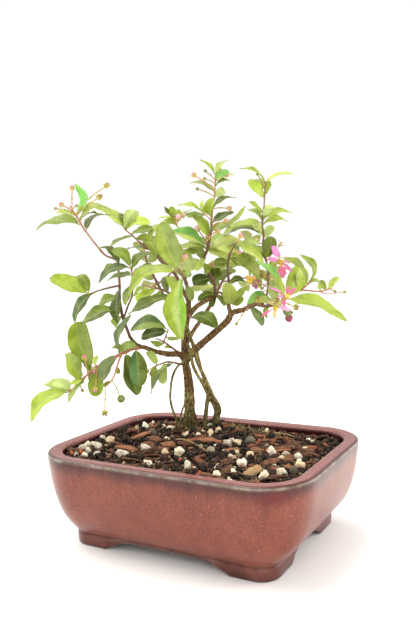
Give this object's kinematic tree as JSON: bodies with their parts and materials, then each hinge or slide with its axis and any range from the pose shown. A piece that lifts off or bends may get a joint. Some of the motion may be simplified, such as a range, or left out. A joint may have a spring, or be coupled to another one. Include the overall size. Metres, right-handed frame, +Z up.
{
  "type": "barbados cherry bonsai",
  "caption": "Barbados cherry bonsai with arching leafy twigs, pink flowers and aerial roots, in a glazed rectangular pot with rounded corners on low feet.",
  "frame": {"origin": "below the middle of the whole object's box, on the surface the pot's feet stand on", "axes": "+Z up, the pot's long side along X; the front of the tree looks toward -Y and +X, about 29 degrees round from -Y"},
  "size_m": [0.2414, 0.2304, 0.2709],
  "materials": {
    "glaze": "semi-gloss oxblood glaze, mottled, thin and pale along the lip",
    "soil": "damp granular mix of bark, pumice and lava grit",
    "bark": "thin flaking bark, matt, mossy at the foot",
    "foliage": "glossy living leaves, paler below",
    "petals": "thin matt crinkled petals with a yellow heart"
  },
  "bodies": {
    "root": {"bloom_inner": "petals", "bloom_lower": "petals", "bloom_middle": "petals", "bloom_upper": "petals", "pot": "glaze", "soil": "soil", "spray_back_left": "foliage", "spray_back_right": "foliage", "spray_crown_front": "foliage", "spray_far_left": "foliage", "spray_far_right": "foliage", "spray_inner_left": "foliage", "spray_inner_right": "foliage", "spray_left_rise": "foliage", "spray_low_left": "foliage", "spray_right_arm": "foliage", "spray_top": "foliage", "spray_top_right": "foliage", "spray_trunk_left_lower": "foliage", "spray_trunk_left_upper": "foliage", "spray_trunk_right": "foliage", "spray_upper_left": "foliage", "spray_upper_right": "foliage", "wood": "bark"}
  },
  "joints": []
}
